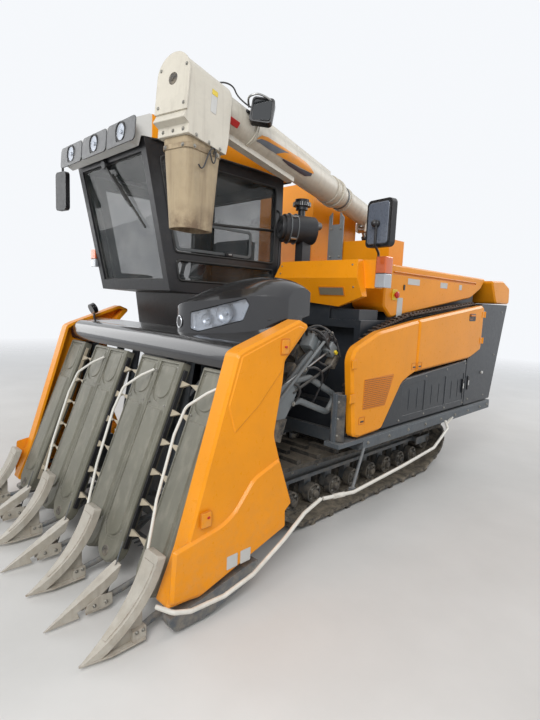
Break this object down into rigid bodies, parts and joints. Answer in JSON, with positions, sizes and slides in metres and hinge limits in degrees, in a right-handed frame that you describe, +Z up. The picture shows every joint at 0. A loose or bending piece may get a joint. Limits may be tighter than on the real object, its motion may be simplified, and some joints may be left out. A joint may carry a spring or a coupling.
{
  "type": "combine harvester",
  "caption": "Head-feeding combine harvester on rubber crawler tracks, with a lifting header, a right-hand cab, an engine, a grain tank and a swinging unloading auger.",
  "frame": {"origin": "on the ground, at the middle of the machine's overall length and width", "axes": "+X to the machine's left side, +Y to its rear, +Z up"},
  "size_m": [2.4238, 5.0121, 3.0397],
  "materials": {
    "orange": "gloss",
    "dark_panel": "satin",
    "black_metal": "satin",
    "hood_black": "gloss, dusty",
    "case_grey": "matt, moulded",
    "divider_grey": "satin, worn",
    "tine_beige": "matt",
    "ivory": "satin, dusty",
    "spout_tan": "matt, stained",
    "white": "satin",
    "cab_grey": "satin",
    "steel": "worn",
    "cast": "rough",
    "frame_grey": "satin",
    "track_rubber": "matt, dusty",
    "chain_brown": "rusty",
    "glass": "clear",
    "lens": "clear, ribbed",
    "interior": "grained"
  },
  "bodies": {
    "base": {"air_cleaner": "black_metal", "auger_column": "orange", "cab_glass": "glass", "cab_interior": "interior", "cab_roof": "white", "cab_shell": "black_metal", "chassis_frame": "frame_grey", "engine_block": "cast", "feed_chain": "chain_brown", "grain_tank": "orange", "guide_pipe_rear": "white", "lamps": "lens", "lower_housings": "orange", "lower_panels": "dark_panel", "mirrors": "black_metal", "threshing_body": "dark_panel", "track_drive": "cast", "track_left": "track_rubber", "track_right": "track_rubber", "track_rollers": "cast", "upper_covers": "orange"},
    "header": {"header_frame": "frame_grey", "raising_cases": "case_grey", "tine_chains": "tine_beige", "dividers": "divider_grey", "guide_rods": "white", "header_covers": "orange", "header_top": "hood_black", "headlight": "lens", "crop_conveyor": "frame_grey"},
    "header_barrel": {"header_cylinder": "black_metal"},
    "header_piston": {"header_rod": "steel"},
    "auger_turret": {"auger_elbow": "ivory"},
    "auger_arm": {"auger_inner_tube": "ivory"},
    "auger_end": {"auger_outer_tube": "ivory", "auger_spout": "spout_tan", "work_lamp": "black_metal"},
    "auger_barrel": {"auger_cylinder": "black_metal"},
    "auger_piston": {"auger_rod": "steel"},
    "door": {"cab_door": "cab_grey", "cab_door_glass": "glass"},
    "grille_door": {"engine_grille": "black_metal"},
    "lid": {"cylinder_cover": "orange"},
    "front_side_door": {"side_cover_front": "orange"},
    "rear_side_door": {"side_cover_rear": "orange"}
  },
  "joints": [
    {"name": "header_lift", "type": "hinge", "parent": "base", "child": "header", "pos_m": [0, -0.82, 1.08], "axis": [-1, 0, 0], "range_deg": [0, 20]},
    {"name": "header_cylinder_tilt", "type": "hinge", "parent": "base", "child": "header_barrel", "pos_m": [0, -0.48, 0.7], "axis": [-1, 0, 0], "range_deg": [0, 12]},
    {"name": "header_cylinder_stroke", "type": "slide", "parent": "header_barrel", "child": "header_piston", "axis": [0, -0.995, 0.0995], "range_m": [0, 0.12]},
    {"name": "auger_swing", "type": "hinge", "parent": "base", "child": "auger_turret", "pos_m": [-0.13, 1.5, 2.2], "axis": [0, 0, 1], "range_deg": [0, 250]},
    {"name": "auger_lift", "type": "hinge", "parent": "auger_turret", "child": "auger_arm", "pos_m": [-0.13, 1.5, 2.565], "axis": [-0.9816, -0.1908, 0], "range_deg": [0, 45]},
    {"name": "auger_extend", "type": "slide", "parent": "auger_arm", "child": "auger_end", "axis": [0.1898, -0.9766, 0.1014], "range_m": [0, 1]},
    {"name": "auger_cylinder_tilt", "type": "hinge", "parent": "auger_turret", "child": "auger_barrel", "pos_m": [-0.09565, 1.32331, 2.15], "axis": [-0.9816, -0.1908, 0], "range_deg": [0, 40]},
    {"name": "auger_cylinder_stroke", "type": "slide", "parent": "auger_barrel", "child": "auger_piston", "axis": [0.1288, -0.6626, 0.7378], "range_m": [0, 0.36]},
    {"name": "cab_door_hinge", "type": "hinge", "parent": "base", "child": "door", "pos_m": [-0.959, -0.4, 1.9], "axis": [0, 0, -1], "range_deg": [0, 75]},
    {"name": "engine_grille_hinge", "type": "hinge", "parent": "base", "child": "grille_door", "pos_m": [-1.066, 0.283, 1.3], "axis": [0, 0, -1], "range_deg": [0, 100]},
    {"name": "cylinder_cover_hinge", "type": "hinge", "parent": "base", "child": "lid", "pos_m": [0.634, 1, 2.006], "axis": [0, -1, 0], "range_deg": [0, 60]},
    {"name": "front_side_cover_hinge", "type": "hinge", "parent": "base", "child": "front_side_door", "pos_m": [1.082, -0.596, 1.1], "axis": [0, 0, -1], "range_deg": [0, 100]},
    {"name": "rear_side_cover_hinge", "type": "hinge", "parent": "base", "child": "rear_side_door", "pos_m": [1.082, 1.65, 1.45], "axis": [0, 0, 1], "range_deg": [0, 100]}
  ],
  "couplings": [
    {"joint": "header_cylinder_tilt", "follows": "header_lift", "ratio": 0.4701},
    {"joint": "header_cylinder_stroke", "follows": "header_lift", "m_per_rad": 0.312},
    {"joint": "auger_cylinder_tilt", "follows": "auger_lift", "ratio": 0.5346},
    {"joint": "auger_cylinder_stroke", "follows": "auger_lift", "m_per_rad": 0.3621}
  ]
}
